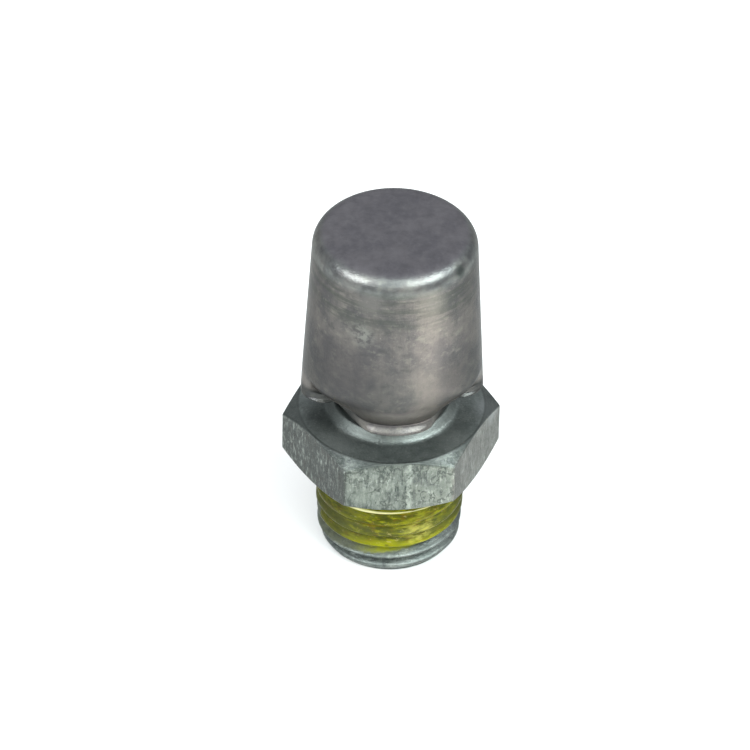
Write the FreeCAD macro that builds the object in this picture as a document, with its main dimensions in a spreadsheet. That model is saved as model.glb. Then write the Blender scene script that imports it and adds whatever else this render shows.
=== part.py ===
# Axle breather: a turned steel fitting with a tapered pipe thread, and a drawn steel cap that is crimped
# over the fitting's flange. A light spring under the cap holds a rubber faced valve on the vent's mouth.
# Millimetres. The origin is the centre of the thread's end face, and +Z runs up through the cap.

import FreeCAD, Part
import math
import os
import re
import Sketcher

doc = FreeCAD.newDocument("axle_breather")
sheet = doc.addObject("Spreadsheet::Sheet", "Dimensions")

# Driving dimensions: sizes that could be measured on the real piece.
DRIVING = {
    # Tapered pipe thread, given by its crests
    "thread_length": 9.33,
    "thread_end_radius": 6.63,
    "taper_ratio": 32.0,
    "lead_height": 1.21,
    "lead_depth": 0.74,
    # Dried thread sealant
    "sealant_start": 3.3,
    "sealant_thickness": 0.12,
    # Hexagon for the spanner
    "across_flats": 17.4625,
    "hex_height": 5.88,
    "top_chamfer_radius": 8.7,
    "bottom_chamfer_radius": 8.1,
    "chamfer_angle": 30.0,
    # Neck with its conical foot on the hexagon, retaining flange, vent passage and its mouth
    "neck_foot_radius": 6.4,
    "neck_foot_height": 1.05,
    "neck_foot_angle": 45.0,
    "neck_clearance": 0.6,
    "flange_radius": 6.5,
    "flange_clearance": 0.2,
    "flange_thickness": 1.2,
    "flange_under_angle": 40.0,
    "mouth_radius": 3.9,
    "mouth_height": 2.4,
    "vent_radius": 2.5,
    "vent_chamfer": 0.4,
    # Drawn cap
    "rim_gap": 2.04,
    "cap_height": 18.02,
    "cap_rim_radius": 8.41,
    "cap_top_radius": 7.43,
    "cap_corner_radius": 1.75,
    "sheet_thickness": 0.8,
    # Crimps: jaw marks pressed into the cap's skirt
    "crimp_count": 2,
    "crimp_half_angle": 72.0,
    "crimp_lip_radius": 6.7,
    "crimp_waist_radius": 6.2,
    "crimp_waist_height": 0.85,
    "crimp_height": 3.3,
    "crimp_nose_width": 0.4,
    # Valve
    "seal_thickness": 1.2,
    "seal_overlap": 0.2,
    "seal_clearance": 0.05,
    "valve_sheet": 0.5,
    "brim_gap": 0.8,
    "brim_radius": 6.1,
    # Spring
    "wire_diameter": 0.6,
    "spring_clearance": 0.35,
    "spring_turns": 5.0,
    "grinding_depth": 0.12,
}

# Radii and heights that follow from the driving dimensions.
DERIVED = {
    "thread_top_radius": "thread_end_radius + thread_length / taper_ratio",
    "sealant_start_radius": "thread_end_radius + sealant_start / taper_ratio",
    "corner_reach": "across_flats / sqrt(3)",
    "hex_top": "thread_length + hex_height",
    "neck_foot_top": "hex_top + neck_foot_height",
    "neck_foot_reach": "neck_foot_height / tan(neck_foot_angle * 1deg)",
    "rim_level": "hex_top + rim_gap",
    "cap_top": "rim_level + cap_height",
    "roof_level": "cap_top - sheet_thickness",
    "roof_radius": "cap_top_radius + sheet_thickness * wall_slope - sheet_thickness",
    "roof_bevel": "(cap_corner_radius - sheet_thickness) * (2 - sqrt(2))",
    "wall_slope": "(cap_rim_radius - cap_top_radius) / cap_height",
    "waist_level": "rim_level + crimp_waist_height",
    "waist_inside": "crimp_waist_radius - sheet_thickness",
    "nose_low": "waist_level - crimp_nose_width / 2",
    "nose_high": "waist_level + crimp_nose_width / 2",
    "shoulder_level": "rim_level + crimp_height",
    "shoulder_radius": "cap_rim_radius - crimp_height * wall_slope",
    "crimp_slope": "(shoulder_radius - crimp_waist_radius) / (shoulder_level - nose_high)",
    "crimp_rise": "sheet_thickness * tan(atan(crimp_slope) / 2)",
    "crimp_inner_half_angle": "crimp_half_angle + sheet_thickness / crimp_lip_radius * 180 / pi",
    "neck_radius": "waist_inside - neck_clearance",
    "flange_edge":
        "nose_high + crimp_rise + (flange_radius - waist_inside) / crimp_slope + flange_clearance",
    "flange_under": "flange_edge - (flange_radius - neck_radius) * tan(flange_under_angle * 1deg)",
    "flange_top": "flange_edge + flange_thickness",
    "mouth_level": "flange_top + mouth_height",
    "seal_radius": "mouth_radius + seal_overlap",
    "seal_top": "mouth_level + seal_thickness",
    "valve_inside": "seal_radius + seal_clearance",
    "valve_radius": "valve_inside + valve_sheet",
    "valve_top": "seal_top + valve_sheet",
    "valve_bevel": "valve_sheet * (2 - sqrt(2))",
    "brim_level": "flange_top + brim_gap",
    "brim_top": "brim_level + valve_sheet",
    "coil_radius": "valve_radius + spring_clearance + wire_diameter / 2",
    "coil_start": "brim_top + wire_diameter / 2 - grinding_depth",
    "coil_end": "roof_level - wire_diameter / 2 + grinding_depth",
}

# How far an outline that cuts reaches past the solid that it cuts.
OVERCUT = 1.0
# Edges this close to a wanted place are taken as being there.
SAME = 1e-4

row = 0
for alias, content in {**DRIVING, **DERIVED}.items():
    row += 1
    sheet.set(f"A{row}", alias)
    sheet.set(f"B{row}", "=" + content if alias in DERIVED else str(content))
    sheet.setAlias(f"B{row}", alias)
doc.recompute()


def cells(formula):
    """The formula, with each dimension's name written as a reference to its cell."""
    known = {**DRIVING, **DERIVED}
    return re.sub(r"[a-z_]+", lambda m: "Dimensions." + m[0] if m[0] in known else m[0], formula)


def value(formula):
    """The number that a formula of dimensions gives."""
    return float(sheet.evalExpression(cells(formula)))


def new_body(label):
    """An empty body for one piece of the breather."""
    body = doc.addObject("PartDesign::Body", label)
    body.Label = label
    return body


def new_sketch(body, name, role="XZ_Plane"):
    """An empty sketch on one of the body's own origin planes."""
    sketch = body.newObject("Sketcher::SketchObject", name)
    plane = next(item for item in body.Origin.OriginFeatures if item.Role == role)
    sketch.AttachmentSupport = [(plane, "")]
    sketch.MapMode = "FlatFace"
    return sketch


def hold(sketch, geometry, end, across, up):
    """Ties a point of the sketch to its two distances from the sketch's origin."""
    for kind, axis, formula in (("DistanceX", -2, across), ("DistanceY", -1, up)):
        if formula == "0":
            sketch.addConstraint(Sketcher.Constraint("PointOnObject", geometry, end, axis))
        else:
            rule = Sketcher.Constraint(kind, -1, 1, geometry, end, value(formula))
            index = sketch.addConstraint(rule)
            sketch.setExpression(f"Constraints[{index}]", cells(formula))


def outline(sketch, corners):
    """A closed outline, held at its corners: (across, up) is sharp and (across, up, radius) is round."""
    count = len(corners)
    spots = [FreeCAD.Vector(value(c[0]), value(c[1]), 0) for c in corners]
    arrive, leave = list(spots), list(spots)
    for i, corner in enumerate(corners):
        if len(corner) == 3:
            back = (spots[i - 1] - spots[i]).normalize()
            ahead = (spots[(i + 1) % count] - spots[i]).normalize()
            reach = value(corner[2]) / math.tan(back.getAngle(ahead) / 2)
            arrive[i] = spots[i] + back * reach
            leave[i] = spots[i] + ahead * reach
    lines = [sketch.addGeometry(Part.LineSegment(leave[i], arrive[(i + 1) % count])) for i in range(count)]
    for i, corner in enumerate(corners):
        before, after = lines[i - 1], lines[i]
        if len(corner) == 2:
            sketch.addConstraint(Sketcher.Constraint("Coincident", before, 2, after, 1))
            hold(sketch, after, 1, corner[0], corner[1])
            continue
        inward = (arrive[i] + leave[i] - spots[i] * 2).normalize()
        half = (arrive[i] - spots[i]).getAngle(inward)
        centre = spots[i] + inward * (value(corner[2]) / math.sin(half))
        from_arrive = (arrive[i] - centre).cross(leave[i] - centre).z > 0
        start, stop = (arrive[i], leave[i]) if from_arrive else (leave[i], arrive[i])
        bow = Part.Circle(centre, FreeCAD.Vector(0, 0, 1), value(corner[2]))
        arc = sketch.addGeometry(Part.ArcOfCircle(bow, bow.parameter(start), bow.parameter(stop)))
        sketch.addConstraint(Sketcher.Constraint("Tangent", before, 2, arc, 1 if from_arrive else 2))
        sketch.addConstraint(Sketcher.Constraint("Tangent", after, 1, arc, 2 if from_arrive else 1))
        index = sketch.addConstraint(Sketcher.Constraint("Radius", arc, value(corner[2])))
        sketch.setExpression(f"Constraints[{index}]", cells(corner[2]))
        point = sketch.addGeometry(Part.Point(spots[i]), True)
        sketch.addConstraint(Sketcher.Constraint("PointOnObject", point, 1, before))
        sketch.addConstraint(Sketcher.Constraint("PointOnObject", point, 1, after))
        hold(sketch, point, 1, corner[0], corner[1])
    doc.recompute()


def hexagon(sketch, across, up, width):
    """A regular hexagon with a flat side at the top and bottom, given by its centre and its width over
    the flats."""
    reach = value(f"{width} / sqrt(3)")
    centre = FreeCAD.Vector(value(across), value(up), 0)
    circle = sketch.addGeometry(Part.Circle(centre, FreeCAD.Vector(0, 0, 1), reach), True)
    turns = [math.radians(60 * k) for k in range(6)]
    spots = [centre + FreeCAD.Vector(reach * math.cos(a), reach * math.sin(a), 0) for a in turns]
    sides = [sketch.addGeometry(Part.LineSegment(spots[k - 1], spots[k])) for k in range(6)]
    for k in range(6):
        sketch.addConstraint(Sketcher.Constraint("Coincident", sides[k - 1], 2, sides[k], 1))
        sketch.addConstraint(Sketcher.Constraint("PointOnObject", sides[k], 1, circle))
    for side in sides[1:]:
        sketch.addConstraint(Sketcher.Constraint("Equal", sides[0], side))
    sketch.addConstraint(Sketcher.Constraint("Horizontal", sides[2]))
    hold(sketch, circle, 3, across, up)
    index = sketch.addConstraint(Sketcher.Constraint("Radius", circle, reach))
    sketch.setExpression(f"Constraints[{index}]", cells(f"{width} / sqrt(3)"))
    doc.recompute()


def turned(body, name, corners, kind="PartDesign::Revolution", role="XZ_Plane", angle=None):
    """A full turn of an outline about Z, added or cut away, or a sector of the given angle."""
    sketch = new_sketch(body, name + "_outline", role)
    outline(sketch, corners)
    feature = body.newObject(kind, name)
    feature.Profile = sketch
    feature.ReferenceAxis = (sketch, ["V_Axis"])
    if angle:
        feature.Midplane = True
        feature.setExpression("Angle", cells(angle))
    doc.recompute()
    return feature


def rings(shape, radius, level):
    """The names of the shape's circular edges of that radius about Z, at that height."""
    found = []
    for number, edge in enumerate(shape.Edges, start=1):
        curve = edge.Curve
        if isinstance(curve, Part.Circle) and math.isclose(curve.Radius, radius, abs_tol=SAME):
            if math.isclose(curve.Center.z, level, abs_tol=SAME):
                found.append(f"Edge{number}")
    return found


def dressed(body, kind, name, edges, setting, formula):
    """A fillet or a chamfer on edges of the body's last feature."""
    base = body.Tip
    feature = body.newObject(kind, name)
    feature.Base = (base, edges)
    feature.setExpression(setting, cells(formula))
    doc.recompute()
    return feature


# The fitting is turned from hexagon bar: thread, hexagon, neck, flange and the vent's mouth in one piece.
breather_body = new_body("breather_body")
bar = new_sketch(breather_body, "bar_section", "XY_Plane")
bar.setExpression("AttachmentOffset.Base.z", cells("thread_length"))
hexagon(bar, "0", "0", "across_flats")
hexagon_bar = breather_body.newObject("PartDesign::Pad", "hexagon_bar")
hexagon_bar.Profile = bar
hexagon_bar.setExpression("Length", cells("hex_height"))
doc.recompute()

past_corner = f"corner_reach + {OVERCUT}"
turned(breather_body, "upper_chamfer", [
    ("top_chamfer_radius", "hex_top"),
    (past_corner, "hex_top"),
    (past_corner, f"hex_top - ({past_corner} - top_chamfer_radius) * tan(chamfer_angle * 1deg)"),
], "PartDesign::Groove")
turned(breather_body, "lower_chamfer", [
    ("bottom_chamfer_radius", "thread_length"),
    (past_corner, f"thread_length + ({past_corner} - bottom_chamfer_radius) * tan(chamfer_angle * 1deg)"),
    (past_corner, "thread_length"),
], "PartDesign::Groove")
turned(breather_body, "thread", [
    ("0", "0"),
    ("thread_end_radius - lead_depth", "0"),
    ("thread_end_radius + lead_height / taper_ratio", "lead_height"),
    ("thread_top_radius", "thread_length"),
    ("0", "thread_length"),
])
turned(breather_body, "neck", [
    ("0", "hex_top"),
    ("neck_foot_radius", "hex_top"),
    ("neck_foot_radius - neck_foot_reach", "neck_foot_top"),
    ("neck_radius", "neck_foot_top"),
    ("neck_radius", "flange_under"),
    ("flange_radius", "flange_edge"),
    ("flange_radius", "flange_top"),
    ("mouth_radius", "flange_top"),
    ("mouth_radius", "mouth_level"),
    ("0", "mouth_level"),
])
turned(breather_body, "vent", [
    ("0", "0"),
    ("vent_radius", "0"),
    ("vent_radius", "mouth_level"),
    ("0", "mouth_level"),
], "PartDesign::Groove")
vent_ends = rings(breather_body.Shape, value("vent_radius"), 0.0)
vent_ends += rings(breather_body.Shape, value("vent_radius"), value("mouth_level"))
dressed(breather_body, "PartDesign::Chamfer", "vent_edges", vent_ends, "Size", "vent_chamfer")

# The sealant was brushed on the thread in a band below the hexagon, and has dried there.
thread_sealant = new_body("thread_sealant")
turned(thread_sealant, "band", [
    ("sealant_start_radius", "sealant_start"),
    ("sealant_start_radius + sealant_thickness", "sealant_start + sealant_thickness"),
    ("thread_top_radius + sealant_thickness", "thread_length"),
    ("thread_top_radius", "thread_length"),
])

# The cap is a cup drawn from sheet. Two jaws press its skirt in under the fitting's flange, and the sheet
# stays as thick as it was, so the jaw marks show inside the skirt too, one sheet further in. The jaws have a
# flat nose that makes the waist. Where they meet, the skirt is left out in an ear on each side, and the air
# leaves there.


def cup(name, inset, rise, half_angle, corner):
    """The solid inside the cap's outer face, or inside its inner face with the inset of one sheet."""
    body = new_body(name)
    turned(body, name + "_wall", [
        ("0", "rim_level"),
        (f"cap_rim_radius - {inset}", "rim_level"),
        *corner,
        ("0", f"cap_top - {inset}"),
    ])
    below, above = f"rim_level - {OVERCUT}", f"shoulder_level + {rise} + {OVERCUT}"
    mark = turned(body, name + "_jaw_mark", [
        (f"crimp_lip_radius - {inset}", below),
        (f"crimp_lip_radius - {inset}", "rim_level"),
        (f"crimp_waist_radius - {inset}", "nose_low"),
        (f"crimp_waist_radius - {inset}", f"nose_high + {rise}"),
        (f"shoulder_radius - {inset}", f"shoulder_level + {rise}"),
        (f"shoulder_radius - {inset} + crimp_slope * {OVERCUT}", above),
        (f"cap_rim_radius + {OVERCUT}", above),
        (f"cap_rim_radius + {OVERCUT}", below),
    ], "PartDesign::Groove", "YZ_Plane", f"{half_angle} * 2")
    marks = body.newObject("PartDesign::PolarPattern", name + "_jaw_marks")
    marks.Originals = [mark]
    marks.Axis = (mark.Profile[0], ["V_Axis"])
    marks.Angle = 360
    marks.setExpression("Occurrences", cells("crimp_count"))
    body.Tip = marks
    doc.recompute()
    return body


cup_outside = cup("cup_outside", "0", "0", "crimp_half_angle", [
    ("cap_top_radius", "cap_top", "cap_corner_radius"),
])
cup_inside = cup("cup_inside", "sheet_thickness", "crimp_rise", "crimp_inner_half_angle", [
    ("roof_radius", "roof_level - roof_bevel"),
    ("roof_radius - roof_bevel", "roof_level"),
])
cap = doc.addObject("Part::Cut", "cap")
cap.Label = "cap"
cap.Base = cup_outside
cap.Tool = cup_inside

# A rubber disc lies on the vent's mouth, and a pressed steel cup with a brim holds it there.
valve_seal = new_body("valve_seal")
turned(valve_seal, "disc", [
    ("0", "mouth_level"),
    ("seal_radius", "mouth_level"),
    ("seal_radius", "seal_top"),
    ("0", "seal_top"),
])
valve_cup = new_body("valve_cup")
turned(valve_cup, "pressing", [
    ("0", "seal_top"),
    ("valve_inside", "seal_top"),
    ("valve_inside", "brim_level"),
    ("brim_radius", "brim_level"),
    ("brim_radius", "brim_top"),
    ("valve_radius", "brim_top"),
    ("valve_radius", "valve_top - valve_bevel"),
    ("valve_radius - valve_bevel", "valve_top"),
    ("0", "valve_top"),
])

# The spring stands on the valve's brim and bears on the cap's roof. Its ends are ground flat. The round
# wire is drawn with six flats, which keeps the coil light.
valve_spring = new_body("valve_spring")
wire = new_sketch(valve_spring, "wire")
hexagon(wire, "coil_radius", "coil_start", "wire_diameter")
coil = valve_spring.newObject("PartDesign::AdditiveHelix", "coil")
coil.Profile = wire
coil.ReferenceAxis = (wire, ["V_Axis"])
coil.Mode = "height-turns-angle"
coil.setExpression("Height", cells("coil_end - coil_start"))
coil.setExpression("Turns", cells("spring_turns"))
doc.recompute()
for name, level, beyond in (("lower_grinding", "brim_top", "brim_top - wire_diameter"),
                            ("upper_grinding", "roof_level", "roof_level + wire_diameter")):
    turned(valve_spring, name, [
        ("0", level),
        ("coil_radius + wire_diameter", level),
        ("coil_radius + wire_diameter", beyond),
        ("0", beyond),
    ], "PartDesign::Groove", "YZ_Plane")
doc.recompute()

PIECES = (breather_body, thread_sealant, cap, valve_seal, valve_cup, valve_spring)

for item in doc.Objects:
    faults = [word for word in ("Invalid", "Error") if word in item.State]
    if faults:
        raise RuntimeError(f"{item.Label} failed: {faults}")
for piece in PIECES:
    if piece.Shape.isNull() or not piece.Shape.isValid() or len(piece.Shape.Solids) != 1:
        raise RuntimeError(f"{piece.Label} is not one valid solid")

os.makedirs("parts", exist_ok=True)
for piece in PIECES:
    piece.Shape.exportStep(os.path.join("parts", piece.Label + ".step"))
    box = piece.Shape.BoundBox
    print(f"{piece.Label}: {piece.Shape.Volume:.1f} mm3, z {box.ZMin:.2f} to {box.ZMax:.2f}")
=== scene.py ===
import math

import bpy
import numpy as np
from mathutils import Matrix, Vector


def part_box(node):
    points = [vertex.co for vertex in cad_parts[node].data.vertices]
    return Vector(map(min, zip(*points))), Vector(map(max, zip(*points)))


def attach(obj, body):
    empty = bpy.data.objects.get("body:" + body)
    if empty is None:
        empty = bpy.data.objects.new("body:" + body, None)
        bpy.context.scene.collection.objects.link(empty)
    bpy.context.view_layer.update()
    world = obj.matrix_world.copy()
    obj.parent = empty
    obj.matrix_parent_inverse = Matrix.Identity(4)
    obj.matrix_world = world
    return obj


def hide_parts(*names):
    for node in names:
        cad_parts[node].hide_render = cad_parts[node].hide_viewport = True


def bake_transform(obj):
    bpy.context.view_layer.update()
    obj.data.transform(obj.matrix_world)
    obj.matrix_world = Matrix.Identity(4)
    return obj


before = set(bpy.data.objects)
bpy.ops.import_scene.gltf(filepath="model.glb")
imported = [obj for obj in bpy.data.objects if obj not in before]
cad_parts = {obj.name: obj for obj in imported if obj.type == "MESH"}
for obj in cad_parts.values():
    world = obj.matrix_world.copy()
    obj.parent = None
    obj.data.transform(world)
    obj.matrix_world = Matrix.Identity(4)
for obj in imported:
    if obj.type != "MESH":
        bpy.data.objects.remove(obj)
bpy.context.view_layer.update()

# The fitting: one piece of zinc plated steel, turned from hexagon bar. It has a tapered pipe
# thread, the hexagon for a spanner, and above it a neck with a retaining flange and the vent's
# mouth. The thread is cut with a die after turning, and the spanner has scuffed the flats.
MM = 0.001

fitting_low, fitting_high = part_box("breather_body")
across_flats = fitting_high.y - fitting_low.y
mouth_level = fitting_high.z
thread_length = 9.33 * MM
thread_end_radius = 6.63 * MM
thread_taper = 1 / 32
thread_pitch = 25.4 * MM / 18
thread_depth = 1.0 * MM
thread_crest_flat = 0.09
thread_runout = 1.5 * MM
crest_level = 2.15 * MM
crest_angle = math.radians(264.4)
lead_height = 1.21 * MM
lead_radius = 5.89 * MM
hex_top = thread_length + 5.88 * MM
hex_edge = 0.2 * MM
top_chamfer_radius = 8.68 * MM
bottom_chamfer_radius = 8.1 * MM
chamfer_slope = math.tan(math.radians(30))
foot_radius = 6.05 * MM
foot_height = 0.9 * MM
foot_lean = 0.78
foot_fillet = 0.4 * MM
neck_radius = 4.8 * MM
flange_radius = 6.5 * MM
mouth_radius = 3.9 * MM
flange_top = mouth_level - 2.4 * MM
flange_edge = flange_top - 1.2 * MM
flange_under = flange_edge - (flange_radius - neck_radius) * math.tan(math.radians(40))
vent_radius = 2.5 * MM
vent_chamfer = 0.4 * MM
fine_edge = 0.05 * MM
turned_edge = 0.1 * MM
flat_edge = 0.12 * MM
broken_edge = 0.15 * MM
soft_edge = 0.2 * MM


def hexagon_angles(per_side=54):
    """Angles once round, closer together near the six corners: within a side, s runs from -1 to 1
    and the angle from the side's middle is 30 degrees times (1.5 s - 0.5 s cubed)."""
    s = np.linspace(-1, 1, per_side, endpoint=False)
    within = math.radians(30) * (1.5 * s - 0.5 * s**3)
    middles = math.radians(30) + math.radians(60) * np.arange(6)
    return (middles[:, None] + within[None, :]).ravel()


def hexagon_radius(angle, flats, corner):
    """The distance from the axis to a hexagon's side, half the width over the flats divided by the
    cosine of the angle from the side's middle, with each corner rounded by an arc."""
    sector = math.radians(60)
    off_middle = (angle % sector) - sector / 2
    line = flats / 2 / np.cos(off_middle)
    off_corner = sector / 2 - np.abs(off_middle)
    centre = (flats / 2 - corner) / math.cos(sector / 2)
    root = np.maximum(corner**2 - (centre * np.sin(off_corner)) ** 2, 0)
    arc = centre * np.cos(off_corner) + np.sqrt(root)
    tangent = math.atan2(corner * math.sin(sector / 2), centre + corner * math.cos(sector / 2))
    return np.where(off_corner < tangent, arc, line)


def section(angle, corners, bend_points=7, most=0.45):
    """A closed outline in radius and height for each angle. Each corner is (radius, height,
    rounding, steps): a parabola rounds it and leaves both sides at the rounding's distance, or at
    most that share of the side, and the straight line after it is divided into that many steps.
    Radius and height may change with the angle."""
    ones = np.ones_like(angle)
    spots = [np.stack([ones * c[0], ones * c[1]], axis=1) for c in corners]
    bends = []
    for i, corner in enumerate(corners):
        here, before, after = spots[i], spots[i - 1], spots[(i + 1) % len(corners)]
        bend = here[None]
        if corner[2]:
            back, ahead = before - here, after - here
            far_back = np.linalg.norm(back, axis=1, keepdims=True)
            far_ahead = np.linalg.norm(ahead, axis=1, keepdims=True)
            first = here + back / far_back * np.minimum(corner[2], most * far_back)
            last = here + ahead / far_ahead * np.minimum(corner[2], most * far_ahead)
            t = np.linspace(0, 1, bend_points)[:, None, None]
            bend = (1 - t) ** 2 * first + 2 * t * (1 - t) * here + t**2 * last
        bends.append(bend)
    rows = []
    for i, corner in enumerate(corners):
        start, stop = bends[i][-1], bends[(i + 1) % len(corners)][0]
        t = np.linspace(0, 1, corner[3] + 1)[1:-1, None, None]
        rows += [bends[i], start + (stop - start) * t]
    return np.concatenate(rows).transpose(1, 0, 2)


def new_object(name, data):
    made = bpy.data.objects.new(name, data)
    bpy.context.collection.objects.link(made)
    return made


def new_piece(name, vertices, faces):
    """An object with a smooth mesh of these points and faces."""
    mesh = bpy.data.meshes.new(name)
    mesh.from_pydata(vertices.tolist(), [], faces)
    mesh.polygons.foreach_set("use_smooth", np.ones(len(mesh.polygons), bool))
    return new_object(name, mesh)


def round_mesh(name, angle, outline, closed):
    """A closed surface round the Z axis: the point at angle a and outline step j is (r cos a,
    r sin a, z). The outline is a closed loop, or it starts and ends on the axis, where the points
    of all angles are one."""
    radius, height = outline[..., 0], outline[..., 1]
    across, along = radius * np.cos(angle)[:, None], radius * np.sin(angle)[:, None]
    points = np.stack([across, along, height], axis=2)
    if not closed:
        poles, points = points[0, [0, -1]], points[:, 1:-1]
    columns, rows = points.shape[:2]
    index = np.arange(columns * rows).reshape(columns, rows)
    if closed:
        index = np.concatenate([index, index[:, :1]], axis=1)
    after = np.roll(index, -1, axis=0)
    quads = np.stack([index[:, :-1], after[:, :-1], after[:, 1:], index[:, 1:]], axis=2)
    vertices, faces = points.reshape(-1, 3), quads.reshape(-1, 4).tolist()
    if not closed:
        first = np.full(columns, columns * rows)
        faces += np.stack([first, after[:, 0], index[:, 0]], axis=1).tolist()
        faces += np.stack([first + 1, index[:, -1], after[:, -1]], axis=1).tolist()
        vertices = np.concatenate([vertices, poles])
    return new_piece(name, vertices, faces)


def crest_radius(z):
    """The thread's crests lie on a cone that widens by 1 in 16 on diameter away from the end."""
    return thread_end_radius + z * thread_taper


def thread_groove(angle, z):
    """How deep the thread is cut, from 0 on a crest to 1 in a root. Along the axis it is a vee of
    60 degrees with narrow flats, it climbs one pitch a turn, and it fades out where the die
    stopped."""
    turns = (z - crest_level) / thread_pitch - (angle - crest_angle) / (2 * math.pi)
    across = 1 - np.abs(2 * (turns % 1) - 1)
    vee = np.clip((across - thread_crest_flat) / (1 - 2 * thread_crest_flat), 0, 1)
    return vee * np.clip((thread_length - z) / thread_runout, 0, 1)


def threaded_radius(angle, z):
    """The cut thread, with its first turns turned down by the lead chamfer."""
    cut = crest_radius(z) - thread_depth * thread_groove(angle, z)
    lead = lead_radius + z * (crest_radius(lead_height) - lead_radius) / lead_height
    return np.minimum(cut, lead)


angle = hexagon_angles()
side = hexagon_radius(angle, across_flats, hex_edge)
chamfer_foot = thread_length + (side - bottom_chamfer_radius) * chamfer_slope
chamfer_head = hex_top - (side - top_chamfer_radius) * chamfer_slope
fitting_outline = section(angle, [
    (vent_radius + vent_chamfer, 0, fine_edge, 4),
    (lead_radius, 0, broken_edge, 8),
    (crest_radius(lead_height), lead_height, 0, 92),
    (crest_radius(thread_length), thread_length, 0, 4),
    (bottom_chamfer_radius, thread_length, fine_edge, 4),
    (side, chamfer_foot, flat_edge, 14),
    (side, chamfer_head, flat_edge, 4),
    (top_chamfer_radius, hex_top, flat_edge, 8),
    (foot_radius, hex_top, foot_fillet, 6),
    (foot_radius - foot_lean * foot_height, hex_top + foot_height, soft_edge, 3),
    (neck_radius, hex_top + foot_height, turned_edge, 4),
    (neck_radius, flange_under, soft_edge, 4),
    (flange_radius, flange_edge, turned_edge, 4),
    (flange_radius, flange_top, broken_edge, 4),
    (mouth_radius, flange_top, broken_edge, 4),
    (mouth_radius, mouth_level, turned_edge, 3),
    (vent_radius + vent_chamfer, mouth_level, fine_edge, 3),
    (vent_radius, mouth_level - vent_chamfer, fine_edge, 8),
    (vent_radius, vent_chamfer, fine_edge, 3),
])
# The die cuts the outside alone, from just above the end face, and not the vent passage.
radius, z = fitting_outline[..., 0], fitting_outline[..., 1]
die_zone = (radius > lead_radius - 0.2 * MM) & (z > 0.02 * MM) & (z < thread_length)
cut = np.minimum(radius, threaded_radius(angle[:, None], z))
fitting_outline[..., 0] = np.where(die_zone, cut, radius)
fitting = round_mesh("fitting", angle, fitting_outline, closed=True)


class Wire:
    """A shader socket, written in expressions: arithmetic on it adds Math nodes, and node() adds
    any other node to the same material."""

    def __init__(self, tree, socket=None):
        self.tree = tree
        self.socket = socket

    def node(self, kind, settings=None, sockets=None, out=0):
        """A node of that type, whose settings are set before its sockets."""
        made = self.tree.nodes.new(kind)
        for key, setting in (settings or {}).items():
            setattr(made, key, setting)
        for key, content in (sockets or {}).items():
            if isinstance(content, Wire):
                self.tree.links.new(content.socket, made.inputs[key])
            else:
                made.inputs[key].default_value = content
        return Wire(self.tree, made.outputs[out] if made.outputs else None)

    def maths(self, operation, a, b=0.0):
        return self.node("ShaderNodeMath", {"operation": operation}, {0: a, 1: b})

    def vector(self, operation, a, b, out=0):
        return self.node("ShaderNodeVectorMath", {"operation": operation}, {0: a, 1: b}, out)

    def __add__(self, other):
        return self.maths("ADD", self, other)

    def __radd__(self, other):
        return self.maths("ADD", other, self)

    def __sub__(self, other):
        return self.maths("SUBTRACT", self, other)

    def __rsub__(self, other):
        return self.maths("SUBTRACT", other, self)

    def __mul__(self, other):
        return self.maths("MULTIPLY", self, other)

    def __rmul__(self, other):
        return self.maths("MULTIPLY", other, self)

    def absolute(self):
        return self.maths("ABSOLUTE", self)

    def ramp(self, low, high):
        """0 at low and 1 at high, smooth in between. Low may be the larger."""
        return self.node("ShaderNodeMapRange", {"interpolation_type": "SMOOTHSTEP"},
                         {"Value": self, "From Min": low, "From Max": high})

    def band(self, base, start, full, fade, end):
        """1 from full to fade, and 0 before start and past end, all in millimetres from a base."""
        start, full, fade, end = (base + distance * MM for distance in (start, full, fade, end))
        return self.ramp(start, full) * (1 - self.ramp(fade, end))

    def line(self, centre, inner, outer):
        """1 within the inner distance of a value, and 0 past the outer one."""
        return 1 - (self - centre).absolute().ramp(inner, outer)

    def along(self, direction):
        """How far a place lies along a direction."""
        return self.vector("DOT_PRODUCT", self, direction, 1)

    def near(self, spot, reach):
        """1 at a spot and 0 beyond the reach, smooth in between. Both are in millimetres."""
        away = self.vector("DISTANCE", self, tuple(c * MM for c in spot), 1)
        return 1 - away.ramp(0.2 * reach * MM, reach * MM)

    def off_axis(self):
        """How far a place lies from the Z axis."""
        return self.vector("LENGTH", self.vector("MULTIPLY", self, (1, 1, 0)), (0, 0, 0), 1)

    def noise(self, size, stretch=(1, 1, 1), detail=5, rough=0.65):
        """Cloudy noise over a place, with spots of about that size in metres, drawn out along an
        axis by the stretch."""
        scaled = self.vector("MULTIPLY", self, tuple(1 / (size * s) for s in stretch))
        return self.node("ShaderNodeTexNoise", {"noise_dimensions": "3D"},
                         {"Vector": scaled, "Scale": 1.0, "Detail": detail, "Roughness": rough})

    def mix(self, a, b):
        """Colour a where this is 0, and colour b where it is 1."""
        return self.node("ShaderNodeMix", {"data_type": "RGBA"},
                         {"Factor": self, 6: opaque(a), 7: opaque(b)}, 2)


def opaque(colour):
    return colour if isinstance(colour, Wire) else (*colour, 1)


def layered(colour, layers):
    """A colour with others laid over it in turn, each after the share of it that shows."""
    for share, layer in layers:
        colour = share.mix(colour, layer)
    return colour


def new_finish(name):
    """An empty material, and the place on the piece in metres."""
    material = bpy.data.materials.new(name)
    material.use_nodes = True
    material.node_tree.nodes.clear()
    return material, Wire(material.node_tree).node("ShaderNodeTexCoord", out=3)


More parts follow.
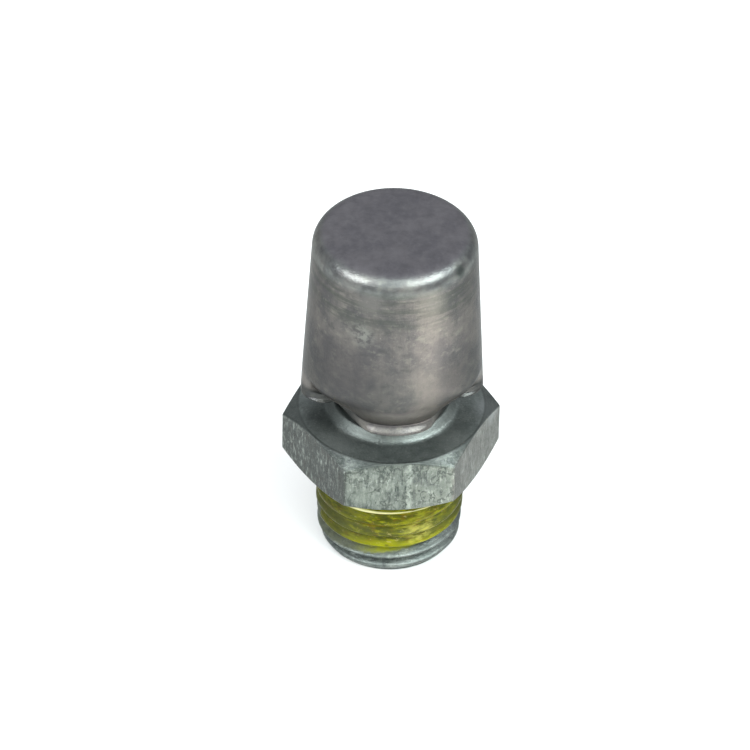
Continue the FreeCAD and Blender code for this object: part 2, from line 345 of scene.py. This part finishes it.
def finish(material, colour, roughness, metallic, height=None, depth=0.0, strength=1.0, edge=1.0,
           shine=0.5):
    """Ends a material: the Principled shader with its colour, roughness, metal share and relief."""
    paint = Wire(material.node_tree)
    sockets = {"Base Color": opaque(colour), "Roughness": roughness, "Metallic": metallic,
               "Specular Tint": (edge, edge, edge, 1), "Specular IOR Level": shine}
    if height is not None:
        relief = {"Height": height, "Distance": depth, "Strength": strength}
        sockets["Normal"] = paint.node("ShaderNodeBump", {}, relief)
    shader = paint.node("ShaderNodeBsdfPrincipled", {}, sockets)
    paint.node("ShaderNodeOutputMaterial", {}, {"Surface": shader})


zinc, place = new_finish("turned_steel")
across, forward, level = (place.along(axis) for axis in ((1, 0, 0), (0, -1, 0), (0, 0, 1)))
cloud = place.noise(1.9 * MM, rough=0.6)
spots = place.noise(0.5 * MM, (1, 1, 1.3))
fine = place.noise(0.2 * MM)
scuff = place.noise(0.22 * MM, (1, 1, 4.5))
veins = place.noise(1.5 * MM, (1, 1, 1.5), 3, 0.55)

flat_low, flat_high = 0.485 * across_flats, 0.497 * across_flats
front_flat = forward.ramp(flat_low, flat_high)
left_flat = place.along((-0.866, -0.5, 0)).ramp(flat_low, flat_high)
right_flat = place.along((0.866, -0.5, 0)).ramp(flat_low, flat_high)
side_flats = left_flat + right_flat
top_edge = level.band(hex_top, -0.8, -0.35, -0.2, 0) * front_flat
rub_light = across.line(0.9 * MM, 0.1 * MM, 0.32 * MM) * front_flat
rub_dark = across.line(1.4 * MM, 0.06 * MM, 0.22 * MM) * front_flat
scratches = veins.line(0.5, 0.006, 0.034) * front_flat
# Painted shade: a dark band along each front corner of the hexagon, broken up by spots.
corner_shade_bands = across.absolute().line(5.35 * MM, 0.15 * MM, 0.6 * MM)
corner_shade_bands = corner_shade_bands * forward.ramp(6.4 * MM, 7.1 * MM)
dull_patches = (place.near((2.2, -8.73, 13.0), 1.3) + place.near((-1.9, -8.73, 13.3), 1.0)
                + place.near((-0.6, -8.73, 11.4), 0.9))

top_face = level.ramp(hex_top - 0.2 * MM, hex_top - 0.05 * MM)
foot_ring = level.band(hex_top, 0.1, 0.25, 0.9, 1.2)
# Painted shade on the left of the ring at the neck's foot, under the cap's ear.
ring_left_shade = level.band(hex_top, 0.05, 0.2, 1.2, 1.5)
ring_left_shade = ring_left_shade * place.along((-0.8, -0.6, 0)).ramp(2.5 * MM, 5.5 * MM)
chamfer_line = hex_top + top_chamfer_radius * chamfer_slope
chamfer = level + place.off_axis() * chamfer_slope
chamfer = chamfer.ramp(chamfer_line - 0.14 * MM, chamfer_line - 0.02 * MM)
# Painted highlights at the chamfer's front corners; the rest of the chamfer gets painted shade.
chamfer_highlight_ends = place.near((-5.0, -8.5, 15), 2.6) + place.near((5.0, -8.5, 15), 2.6)

bare_right = place.along((0.9, -0.43, 0)).ramp(3.5 * MM, 6.2 * MM)
bare_right = bare_right * (1 - level.ramp(4.5 * MM, 6 * MM))
smear_line = level - 0.1 * across + spots * 0.4 * MM
smear = smear_line.ramp(2.68 * MM, 2.84 * MM) * (1 - level.ramp(3.9 * MM, 4.1 * MM))
smear = smear * (0.7 + 0.3 * place.near((0.5, -6.6, 3.0), 5.0))
smear = smear * (0.7 + 0.3 * spots.ramp(0.6, 0.4))
# The sealant's stain: dark olive, painted brighter yellow at the front as painted light.
stain_and_front_light = place.near((-0.2, -6.7, 3.1), 4.6).mix((0.062, 0.068, 0.022), (0.25, 0.265, 0.005))

colour = layered(cloud.ramp(0.35, 0.65).mix((0.10, 0.117, 0.111), (0.17, 0.188, 0.178)), [
    # Painted light on the front and right flats and painted shade on the left flat, the grain of
    # the side flats, spots and scuffs.
    (front_flat * (0.4 + cloud.ramp(0.3, 0.7) * 0.4), (0.155, 0.173, 0.146)),
    (right_flat * 0.6, (0.16, 0.154, 0.142)),
    (left_flat * 0.75, (0.05, 0.053, 0.05)),
    (side_flats * scuff.ramp(0.5, 0.62) * 0.55, (0.055, 0.05, 0.044)),
    (side_flats * scuff.ramp(0.44, 0.34) * 0.5, (0.25, 0.26, 0.24)),
    (spots.ramp(0.53, 0.64) * 0.6, (0.05, 0.058, 0.054)),
    (spots.ramp(0.46, 0.34) * 0.4, (0.28, 0.31, 0.28)),
    (scuff.ramp(0.52, 0.66) * front_flat * cloud.ramp(0.62, 0.4), (0.05, 0.061, 0.055)),
    (scuff.ramp(0.44, 0.34) * (0.2 + cloud.ramp(0.42, 0.58) * 0.5), (0.32, 0.355, 0.32)),
    # The front flat's dark upper edge, its rubbed line, scratches, painted shade along its corners,
    # and dull patches.
    (top_edge * spots.ramp(0.7, 0.45) * 0.6, (0.06, 0.07, 0.065)),
    (rub_light * spots.ramp(0.65, 0.4) * 0.5, (0.32, 0.36, 0.32)),
    (rub_dark * spots.ramp(0.35, 0.6) * 0.5, (0.07, 0.08, 0.075)),
    (scratches * spots.ramp(0.3, 0.5) * 0.8, (0.052, 0.062, 0.055)),
    (corner_shade_bands * spots.ramp(0.68, 0.42) * 0.6, (0.06, 0.066, 0.06)),
    (dull_patches * scuff.ramp(0.35, 0.6) * 0.55, (0.075, 0.085, 0.08)),
    (place.near((-3.4, -8.73, 11.3), 1.4) * 0.4, (0.26, 0.29, 0.25)),
    # The hexagon's top, painted lighter, with a painted highlight at its right corner, lighter
    # patches in front and a painted shadow on its left under the cap's ear, and fine bright specks
    # all over.
    (top_face * 0.4, (0.2, 0.224, 0.214)),
    (place.near((8.9, -1.2, 15.1), 2.0) * 0.6, (0.3, 0.32, 0.32)),
    (top_face * place.near((-6.2, -1.2, 15.2), 3.4) * 0.65, (0.045, 0.055, 0.052)),
    (top_face * place.near((-5.4, -5.5, 15.2), 2.6) * 0.6, (0.26, 0.28, 0.27)),
    (top_face * place.near((5.2, -5.6, 15.2), 2.6) * 0.4, (0.24, 0.26, 0.25)),
    (fine.ramp(0.58, 0.72) * 0.5, (0.32, 0.34, 0.31)),
    # The ring at the neck's foot, with painted shade on its front left and its left, and the top
    # chamfer, with painted highlights where it meets the front corners and painted shade elsewhere.
    (foot_ring * 0.35, (0.11, 0.122, 0.112)),
    (foot_ring * place.near((-2.2, -5.6, 15.6), 2.4) * 0.5, (0.07, 0.08, 0.075)),
    (ring_left_shade * 0.6, (0.07, 0.08, 0.075)),
    (chamfer * spots.ramp(0.6, 0.4) * chamfer_highlight_ends * 0.25, (0.24, 0.27, 0.24)),
    (chamfer * (1 - chamfer_highlight_ends) * 0.75, (0.058, 0.066, 0.062)),
    # The thread's bare right side, and the sealant's thin stain under its film, a real smear with
    # painted light at its front.
    (bare_right * 0.3, (0.08, 0.088, 0.08)),
    (smear, stain_and_front_light),
])
finish(zinc, colour, 0.27 + cloud * 0.16, 0.82 - smear * 0.8,
       fine * 0.4 + scuff * 0.4 + spots * 0.25, depth=0.12 * MM, strength=0.7, edge=0.6)
fitting.data.materials.append(zinc)
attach(fitting, "fitting")
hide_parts("breather_body")

# The thread sealant: a film of yellow-green paste, brushed over the thread below the hexagon, and
# dried. It fills the grooves part of the way, and its lower edge is uneven. The thread's first
# turns are bare, and so is the last one on the left.
sealant_low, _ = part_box("thread_sealant")
sealant_film = 0.06 * MM
sealant_fill = 0.5
sealant_most = 0.11 * MM
sealant_under = 0.03 * MM
sealant_edge = 0.45 * MM
edge_lowest = math.radians(215)
edge_wander = 0.16 * MM
sealant_bare = 1.3 * MM
bare_middle, bare_half = 183, 26  # degrees
lump_height = 0.045 * MM
lump_length = 0.55 * MM
end_share = 0.05


def waves(angle, counts, seed):
    """A smooth wandering line round the axis, from 0 to 1: a sum of sines with whole numbers of
    waves, each weaker than the one before, and drawn phases, so that it closes on itself."""
    phases = np.random.default_rng(seed).uniform(0, 2 * math.pi, len(counts))
    sines = [np.sin(count * angle + phase) for count, phase in zip(counts, phases)]
    total = sum(sine / (1 + i) for i, sine in enumerate(sines))
    return (total - total.min()) / (total.max() - total.min())


angle = np.linspace(0, 2 * math.pi, 320, endpoint=False)
slant = 0.5 - 0.5 * np.cos(angle - edge_lowest)
edge = sealant_low.z + sealant_edge * slant + edge_wander * waves(angle, (5, 9, 17, 31), 5)
bare_side = np.exp(-(((np.degrees(angle) - bare_middle) / bare_half) ** 4))
top = thread_length - sealant_bare * bare_side * (0.75 + 0.25 * waves(angle, (7, 11, 19), 8))
rows = np.linspace(0, 1, 84)
z = edge[:, None] + (top - edge)[:, None] * rows[None, :]
groove = thread_groove(angle[:, None], z)
bare = threaded_radius(angle[:, None], z)
# The film rises from the bare thread in the first and last twentieth of its height.
swell = np.sin(np.clip(np.minimum(rows, 1 - rows) / end_share, 0, 1) * math.pi / 2)[None, :]
filled = 0.5 - 0.5 * np.cos(math.pi * groove)
lumps = lump_height * waves(angle, (4, 9, 14, 23), 3)[:, None]
lumps = lumps * np.sin(z / lump_length + 3 * np.sin(3 * angle)[:, None])
over = crest_radius(z) + sealant_film - thread_depth * (1 - sealant_fill) * filled + lumps
over = bare + np.maximum(over - bare, sealant_film) * swell
over = np.minimum(over, crest_radius(z) + sealant_most)
outer, inner = np.stack([over, z], axis=2), np.stack([bare - sealant_under, z], axis=2)
outline = np.concatenate([outer, inner[:, ::-1]], axis=1)
sealant = round_mesh("thread_sealant_film", angle, outline, closed=True)

paste, place = new_finish("dried_sealant")
cloud = place.noise(1.3 * MM, (2.2, 2.2, 0.5), rough=0.6)
streak = place.noise(0.42 * MM, (2.6, 2.6, 0.55), rough=0.62)
tint = place.noise(0.7 * MM, (1.6, 1.6, 0.7), 4, 0.6)
speck = place.noise(0.3 * MM, (2, 2, 0.8))
level = place.along((0, 0, 1))
forward = place.along((0.1, -0.995, 0))
front = forward.ramp(3.5 * MM, 6.0 * MM)
low_band = 1 - level.ramp(3.75 * MM, 4.15 * MM)
mid_band = level.band(0, 3.9, 4.3, 5.2, 5.7)
# A painted highlight on the thread crest under the hexagon, in front only.
crest_highlight = level.band(0, 7.35, 7.6, 7.75, 7.95) * front
# Painted shade: darker on the sides and the back, away from the front.
turned_away_shade = 1 - forward.ramp(3.4 * MM, 6.4 * MM)
colour = layered(cloud.ramp(0.36, 0.64).mix((0.055, 0.06, 0.004), (0.15, 0.155, 0.003)), [
    # Brown and green patches, and the brush's dark streaks.
    (tint.ramp(0.52, 0.64) * 0.7, (0.13, 0.08, 0.006)),
    (tint.ramp(0.45, 0.3) * 0.5, (0.075, 0.1, 0.03)),
    (streak.ramp(0.48, 0.34) * 0.6, (0.035, 0.04, 0.008)),
    # A bright turn at the bottom, an olive one over it, painted highlights as light streaks along
    # the thread with a brighter patch of them in front, and specks.
    (low_band * front * 0.6, (0.2, 0.21, 0.003)),
    (mid_band * 0.6, (0.052, 0.057, 0.016)),
    (streak.ramp(0.52, 0.64) * (0.8 - mid_band * 0.35), (0.23, 0.235, 0.006)),
    (speck.ramp(0.58, 0.7) * 0.6, (0.34, 0.30, 0.11)),
    (speck.ramp(0.42, 0.3) * 0.5, (0.03, 0.03, 0.01)),
    (place.near((2.4, -6.4, 5.0), 2.4) * streak.ramp(0.4, 0.56) * 0.6, (0.36, 0.34, 0.07)),
    # Painted shade in olive on the sides and the back, and a painted highlight on a crest under the
    # hexagon.
    (turned_away_shade * 0.7, (0.042, 0.046, 0.016)),
    (crest_highlight * cloud.ramp(0.3, 0.5) * 0.9, (0.6, 0.58, 0.3)),
])
finish(paste, colour, 0.24 + speck * 0.2, 0.0, streak * 0.6 + speck * 0.5, depth=0.16 * MM,
       strength=0.8, shine=0.07)
sealant.data.materials.append(paste)
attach(sealant, "fitting")
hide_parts("thread_sealant")

# The valve: a disc of black rubber, cut from sheet, lies on the vent's mouth. A brimmed cup of
# pressed steel sits over it and guides it. Both keep the meshes of the CAD frame.


def grained(name, size, dark, light, roughness, metallic, depth, uneven=0.0):
    """A finish of one even grain, for what the cap hides. Its roughness may follow the grain."""
    material, place = new_finish(name)
    grain = place.noise(size, detail=4, rough=0.5)
    if uneven:
        roughness = roughness + grain * uneven
    finish(material, grain.mix(dark, light), roughness, metallic, grain, depth, strength=0.4)
    return material


rubber = grained("seal_rubber", 0.3 * MM, (0.02, 0.02, 0.02), (0.05, 0.05, 0.05), 0.75, 0.0,
                 0.03 * MM)
pressed = grained("pressed_steel", 0.5 * MM, (0.35, 0.35, 0.35), (0.5, 0.5, 0.5), 0.3, 1.0,
                  0.03 * MM, uneven=0.15)
for node, material in (("valve_seal", rubber), ("valve_cup", pressed)):
    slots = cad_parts[node].data.materials
    slots.clear()
    slots.append(material)

# The spring: round steel wire, coiled, with both ends ground flat. It stands on the valve cup's
# brim and bears on the cap's roof.
spring_low, spring_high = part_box("valve_spring")
wire_radius = 0.3 * MM
coil_radius = 5.3 * MM
coil_turns = 5.0
grinding = 0.12 * MM


def coil(name, around=16, per_turn=72):
    """A round wire carried along a helix: the centre is at (R cos t, R sin t, rise t), and the
    section's points go round it in the plane across the wire. Both ends are cut flat."""
    steps = int(coil_turns * per_turn) + 1
    t = np.linspace(0, 2 * math.pi * coil_turns, steps)
    low = spring_low.z + wire_radius - grinding
    high = spring_high.z - wire_radius + grinding
    rise = (high - low) / t[-1]
    out = np.stack([np.cos(t), np.sin(t), np.zeros_like(t)], axis=1)
    centre = np.stack([coil_radius * np.cos(t), coil_radius * np.sin(t), low + rise * t], axis=1)
    along = np.stack([-coil_radius * np.sin(t), coil_radius * np.cos(t), np.full_like(t, rise)],
                     axis=1)
    along /= np.linalg.norm(along, axis=1, keepdims=True)
    up = np.cross(out, along)
    p = np.linspace(0, 2 * math.pi, around, endpoint=False)
    ring = np.cos(p)[None, :, None] * out[:, None] + np.sin(p)[None, :, None] * up[:, None]
    points = centre[:, None] + wire_radius * ring
    points[..., 2] = np.clip(points[..., 2], spring_low.z, spring_high.z)
    index = np.arange(steps * around).reshape(steps, around)
    here, after = index[:-1], index[1:]
    quads = np.stack([here, np.roll(here, -1, axis=1), np.roll(after, -1, axis=1), after], axis=2)
    ends = [index[0, ::-1].tolist(), index[-1].tolist()]
    return new_piece(name, points.reshape(-1, 3), quads.reshape(-1, 4).tolist() + ends)


spring = coil("spring")
drawn_wire = grained("spring_wire", 0.3 * MM, (0.22, 0.22, 0.23), (0.4, 0.4, 0.42), 0.35, 1.0,
                     0.02 * MM)
spring.data.materials.append(drawn_wire)
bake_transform(spring)
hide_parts("valve_spring")

# The cap: a cup drawn from 0.8 mm steel sheet. Two half-round jaws close on its skirt and press it
# in under the fitting's flange. The sheet that is left over folds out into an ear on each side,
# where the jaws meet, and the air leaves through the ears.
cap_low, cap_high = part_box("cap")
rim_level = cap_low.z
cap_top = cap_high.z
rim_radius = cap_high.x
top_radius = 7.43 * MM
corner_radius = 1.75 * MM
sheet = 0.8 * MM
hem = 0.12 * MM
waist_level = rim_level + 0.85 * MM
side_shoulder, front_shoulder = 3.6 * MM, 6.2 * MM
shoulder_side, shoulder_front = 62, 12  # degrees
lean_power = 1.75
front_lip, front_flare = 7.3 * MM, 0.5 * MM
side_lip, side_flare = 5.72 * MM, 0.07 * MM
side_turn = math.radians(63)
lip_rounding = 0.6 * MM
ear_centre = 5.9 * MM
ear_half_width = 2.2 * MM
ear_half_angle = math.radians(18.5)
ear_flare = 0.3 * MM
ear_band = 0.35 * MM
fold_radius = 6.8 * MM
fold_width = math.radians(2.2)
fold_rounding = 0.15 * MM


def smooth(x, low, high):
    """0 below low and 1 above high, with an even start and end."""
    t = np.clip((x - low) / (high - low), 0, 1)
    return t * t * (3 - 2 * t)


def wall_radius(z):
    """The drawn wall widens evenly from the top to the rim."""
    return rim_radius + (top_radius - rim_radius) * (z - rim_level) / (cap_top - rim_level)


def crimped_plan(off_ear, inset, flare, ear_turn):
    """The crimped skirt seen from below, with angles counted from the ear's middle. The lip is what
    the jaw pressed, an arc in front and a slanting flat on each side, with rounded corners. The ear
    is the far side of an ellipse about a point on the X axis, and ends at a sharp fold. The plan is
    the larger of the two. With less than the whole flare the lip is further in, and the ear with
    less than its own."""
    off_front = math.pi / 2 - off_ear
    front = front_lip - front_flare * (1 - flare) - inset
    side = (side_lip - side_flare * (1 - flare) - inset) / np.cos(off_front - side_turn)
    lip = (front + side - np.sqrt((front - side) ** 2 + lip_rounding**2)) / 2
    reach = rim_radius - ear_centre - inset
    width = ear_half_width - ear_flare * (1 - ear_turn) - inset
    cos, sin = np.cos(off_ear), np.sin(off_ear)
    square = (cos / reach) ** 2 + (sin / width) ** 2
    half = ear_centre * cos / reach**2
    inside = half**2 - square * ((ear_centre / reach) ** 2 - 1)
    ear = np.where(inside > 0, (half + np.sqrt(np.maximum(inside, 0))) / square, 0)
    fold = ear_half_angle - inset / fold_radius
    ear = ear * (1 - smooth(off_ear, fold, fold + fold_width))
    return (lip + ear + np.sqrt((lip - ear) ** 2 + fold_rounding**2)) / 2


def skirt_radius(angle, z, inset):
    """The cap's side. Where the jaws pressed, the skirt leans in from the shoulder, faster and
    faster, to the waist, and flares out below it to the rim. Inside, everything lies one sheet
    further in."""
    off_ear = np.arcsin(np.abs(np.sin(angle)))
    wall = wall_radius(z) - inset
    flare = smooth(waist_level - z, 0, waist_level - rim_level)
    ear_turn = smooth(rim_level + ear_band - z, 0, ear_band)
    in_front = 1 - smooth(90 - np.degrees(off_ear), shoulder_front, shoulder_side)
    shoulder = rim_level + side_shoulder + (front_shoulder - side_shoulder) * in_front
    down = np.clip((shoulder - z) / (shoulder - waist_level), 0, 1) ** lean_power
    return wall + (np.minimum(crimped_plan(off_ear, inset, flare, ear_turn), wall) - wall) * down


def cap_face(angle, inset, rounding, steps, arc_points=15, flat_points=5, closer=1.6):
    """One face of the sheet, from the roof's middle to the rim: the flat roof, an arc that meets
    the wall, the side with its points closer together near the rim, and at the rim a quarter round
    of the given radius, which is negative on the inner face."""
    slope = (rim_radius - top_radius) / (cap_top - rim_level)
    bend = corner_radius - inset
    centre = top_radius + corner_radius * slope - corner_radius * math.hypot(1, slope)
    t = np.linspace(math.pi / 2, math.atan(slope), arc_points)
    roof = np.linspace(0, centre, flat_points)[:-1]
    arc_r, arc_z = centre + bend * np.cos(t), cap_top - corner_radius + bend * np.sin(t)
    side_z = np.linspace(1, 0, steps)[1:] ** closer * (arc_z[-1] - rim_level - abs(rounding))
    side_z = side_z + rim_level + abs(rounding)
    turn = np.linspace(0, math.pi / 2, flat_points)[1:]
    hem_z = rim_level + abs(rounding) * (1 - np.sin(turn))
    z = np.concatenate([np.full(len(roof), cap_top - inset), arc_z, side_z, hem_z])
    r = np.concatenate([roof, arc_r])[None, :] * np.ones_like(angle)[:, None]
    side_r = skirt_radius(angle[:, None], side_z[None, :], inset)
    hem_r = skirt_radius(angle[:, None], hem_z[None, :], inset) - rounding * (1 - np.cos(turn))
    r = np.concatenate([r, side_r, hem_r], axis=1)
    return np.stack([r, np.broadcast_to(z, r.shape)], axis=2)


def ear_angles(count, flank=18, spread=6, extra=6):
    """Angles once round, closer together at the ears' flanks, which are given in degrees: the count
    of columns up to an angle grows with the integral of a base rate of 1 and a bell curve of that
    extra height about each flank."""
    fine = np.linspace(0, 2 * math.pi, 7201)
    off_ear = np.degrees(np.arcsin(np.abs(np.sin(fine))))
    rate = 1 + extra * np.exp(-(((off_ear - flank) / spread) ** 2))
    total = np.concatenate([[0], np.cumsum((rate[1:] + rate[:-1]) / 2)])
    return np.interp(np.arange(count) * total[-1] / count, total, fine)


angle = ear_angles(480)
inner, outer = cap_face(angle, sheet, -hem, 44), cap_face(angle, 0.0, hem, 96)
cap = round_mesh("cap_shell", angle, np.concatenate([inner, outer[:, ::-1]], axis=1), closed=False)

drawn, place = new_finish("drawn_steel")
level = place.along((0, 0, 1))
forward = place.along((0, -1, 0))
cloud = place.noise(2.8 * MM, (1, 1, 1.2), rough=0.6)
blotch = place.noise(0.9 * MM, (1, 1, 0.7))
fine = place.noise(0.2 * MM)
drawing = place.noise(0.4 * MM, (1, 1, 9), 4, 0.6)
rings = place.noise(0.5 * MM, (9, 9, 0.8), 4, 0.6)

roof = level.ramp(cap_top - 0.5 * MM, cap_top - 0.1 * MM)
# A painted highlight round the roof's corner, which also thins the dark blotches there.
corner_highlight = level.band(cap_top, -2.3, -1.2, -0.35, -0.08)
on_side = 1 - level.ramp(cap_top - 1.9 * MM, cap_top - 0.9 * MM)
ringed = level.ramp(cap_top - 6.5 * MM, cap_top - 4.5 * MM) * on_side
# A painted highlight: a light strip down the wall to the right of the front.
highlight_strip = place.along((0.949, 0.316, 0)).line(0, 0.5 * MM, 1.7 * MM)
highlight_strip = highlight_strip * place.along((0.316, -0.949, 0)).ramp(5 * MM, 6 * MM) * on_side
# Painted shade in a band above the crimp.
over_crimp_shade = level.band(waist_level, 0.9, 3, 3.5, 9.5)
# Painted light on the pressed waist just above the lip.
pressed_waist_light = level.band(waist_level, 0, 0.4, 1.4, 2.4)
# Painted shade in the four folds between the ears and the pressed lip.
fold_shade = sum(place.near((x, y, 17.8), 1.7) for x in (-5.9, 5.9) for y in (-2.7, 2.7))
# A painted highlight along the lip's lower edge in front.
lip_highlight = 1 - level.ramp(rim_level + 0.35 * MM, rim_level + 0.7 * MM)
lip_highlight = lip_highlight * forward.ramp(3.0 * MM, 5.5 * MM)
# Painted shade on the lip's sides, away from the front.
lip_side_shade = 1 - level.ramp(waist_level + 0.1 * MM, waist_level + 0.9 * MM)
lip_side_shade = lip_side_shade * (1 - forward.ramp(4.6 * MM, 6.2 * MM))
roof_tone = 0.48 + blotch.ramp(0.35, 0.65) * 0.14 + cloud.ramp(0.4, 0.65) * 0.1

colour = layered(cloud.ramp(0.38, 0.62).mix((0.08, 0.077, 0.079), (0.13, 0.121, 0.114)), [
    # Light and dark blotches, rings under the corner, upright drawing lines and bright specks.
    (blotch.ramp(0.5, 0.72) * 0.5, (0.20, 0.195, 0.165)),
    (blotch.ramp(0.48, 0.3) * (0.5 - corner_highlight * 0.35), (0.055, 0.058, 0.056)),
    (ringed * rings.ramp(0.42, 0.6) * 0.65, (0.062, 0.068, 0.06)),
    (on_side * drawing.ramp(0.5, 0.75) * 0.35, (0.07, 0.066, 0.064)),
    (on_side * fine.ramp(0.6, 0.78) * 0.55, (0.30, 0.285, 0.25)),
    # Painted shade over the crimp and on both sides of the front, painted highlights under the
    # corner, and a painted highlight strip down the wall.
    (over_crimp_shade * 0.4, (0.05, 0.055, 0.053)),
    (place.near((-5.2, -6.3, 24.0), 5.5) * 0.55, (0.06, 0.056, 0.058)),
    (place.near((4.4, -7.0, 23.4), 3.4) * 0.4, (0.06, 0.056, 0.056)),
    (place.near((3.0, -6.9, 32.6), 2.0) * 0.2, (0.22, 0.215, 0.19)),
    (place.near((-2.9, -7.15, 32.6), 1.8) * 0.3, (0.22, 0.21, 0.19)),
    (highlight_strip * fine.ramp(0.25, 0.5) * 0.14, (0.22, 0.2, 0.17)),
    # Painted shade in the ears' folds, a scuffed patch on the left, a painted highlight on the lip,
    # painted light on the pressed waist and painted shade on the lip's sides.
    (fold_shade * 0.7, (0.03, 0.035, 0.034)),
    (place.near((-3.65, -7.12, 29.0), 1.7) * blotch.ramp(0.4, 0.55) * 0.6, (0.22, 0.225, 0.2)),
    (lip_highlight * fine.ramp(0.3, 0.6) * 0.35, (0.22, 0.21, 0.185)),
    (pressed_waist_light * 0.55, (0.27, 0.25, 0.23)),
    (lip_side_shade * 0.6, (0.04, 0.044, 0.042)),
    # The roof, a painted highlight on the corner round it, and a dark mark on the corner.
    (roof * roof_tone, (0.225, 0.22, 0.24)),
    (corner_highlight * (0.14 + blotch.ramp(0.3, 0.6) * 0.22), (0.23, 0.255, 0.245)),
    (place.near((5.3, -4.87, 34.2), 1.0) * 0.85, (0.04, 0.048, 0.045)),
])
finish(drawn, colour, 0.27 + cloud * 0.12, 0.92, drawing * 0.3 + fine * 0.5 + blotch * 0.4,
       depth=0.07 * MM, strength=0.7, edge=0.5)
cap.data.materials.append(drawn)
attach(cap, "cap")
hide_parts("cap")

# The studio: a pale table top, the camera where the photograph was taken from, four soft boxes
# (high in front, one on each side, and a low warm one), and two spots over the table on the right,
# which lighten the shadow there.
reach = 1.5
corners = np.array([(-reach, -reach, 0), (reach, -reach, 0), (reach, reach, 0), (-reach, reach, 0)])
floor = new_piece("table_top", corners, [(0, 1, 2, 3)])
pale, _ = new_finish("pale_table")
finish(pale, (0.86, 0.86, 0.85), 0.9, 0.0)
floor.data.materials.append(pale)

view_azimuth = math.radians(-5.57)
view_elevation = math.radians(39.18)
view_roll = math.radians(1.228)
view_distance = 0.55
view_target = Vector((-1.568, 0.153, 18.49)) * MM


def direction(azimuth, elevation):
    """From the object outwards, with the azimuth counted from -Y, positive to the right."""
    flat = math.cos(elevation)
    return Vector((math.sin(azimuth) * flat, -math.cos(azimuth) * flat, math.sin(elevation)))


back = direction(view_azimuth, view_elevation)
level_right = Vector((math.cos(view_azimuth), math.sin(view_azimuth), 0))
level_up = back.cross(level_right)
right = level_right * math.cos(view_roll) + level_up * math.sin(view_roll)
up = back.cross(right)
camera_data = bpy.data.cameras.new("camera")
camera_data.lens = 287.9
camera_data.sensor_width = 36
camera_data.clip_start = 0.01
camera_data.clip_end = 20
camera = new_object("camera", camera_data)
turn = Matrix((right, up, back)).transposed().to_4x4()
turn.translation = view_target + back * view_distance
camera.matrix_world = turn
bpy.context.scene.camera = camera


def new_lamp(name, kind, power, colour):
    data = bpy.data.lights.new(name, kind)
    data.energy = power
    data.color = colour
    lamp = new_object(name, data)
    return lamp


def soft_box(name, azimuth, elevation, distance, size, power, colour):
    """A rectangular lamp that faces the object, with its azimuth counted from the camera's."""
    lamp = new_lamp(name, "AREA", power, colour)
    lamp.data.shape = "RECTANGLE"
    lamp.data.size, lamp.data.size_y = size
    out = direction(view_azimuth + math.radians(azimuth), math.radians(elevation))
    facing = out.to_track_quat("Z", "Y").to_matrix().to_4x4()
    lamp.matrix_world = Matrix.Translation(view_target + out * distance) @ facing


soft_box("front_top_box", 0, 50, 0.6, (0.75, 0.5), 2.6, (0.93, 1.0, 0.97))
soft_box("right_box", 57, 44, 0.3, (0.25, 0.1), 1.0, (0.92, 1.0, 1.0))
soft_box("left_box", -57, 36, 0.3, (0.13, 0.1), 0.62, (0.95, 0.98, 1.0))
soft_box("front_low_box", 3, 16, 0.6, (0.5, 0.12), 0.32, (1.0, 0.93, 0.84))
spot_side = direction(view_azimuth + math.radians(45), 0)
for name, out in (("near_spot", 0.036), ("far_spot", 0.06)):
    lamp = new_lamp(name, "SPOT", 2.6, (1.0, 0.93, 0.87))
    lamp.data.spot_size = math.radians(18)
    lamp.data.spot_blend = 1.0
    lamp.data.shadow_soft_size = 0.01
    lamp.location = spot_side * out + Vector((0, 0, 0.15))
world = bpy.data.worlds.new("studio")
world.use_nodes = True
background = world.node_tree.nodes["Background"].inputs
background["Color"].default_value = (0.93, 0.95, 1.0, 1)
background["Strength"].default_value = 0.68
bpy.context.scene.world = world
bpy.context.scene.view_settings.view_transform = "Standard"
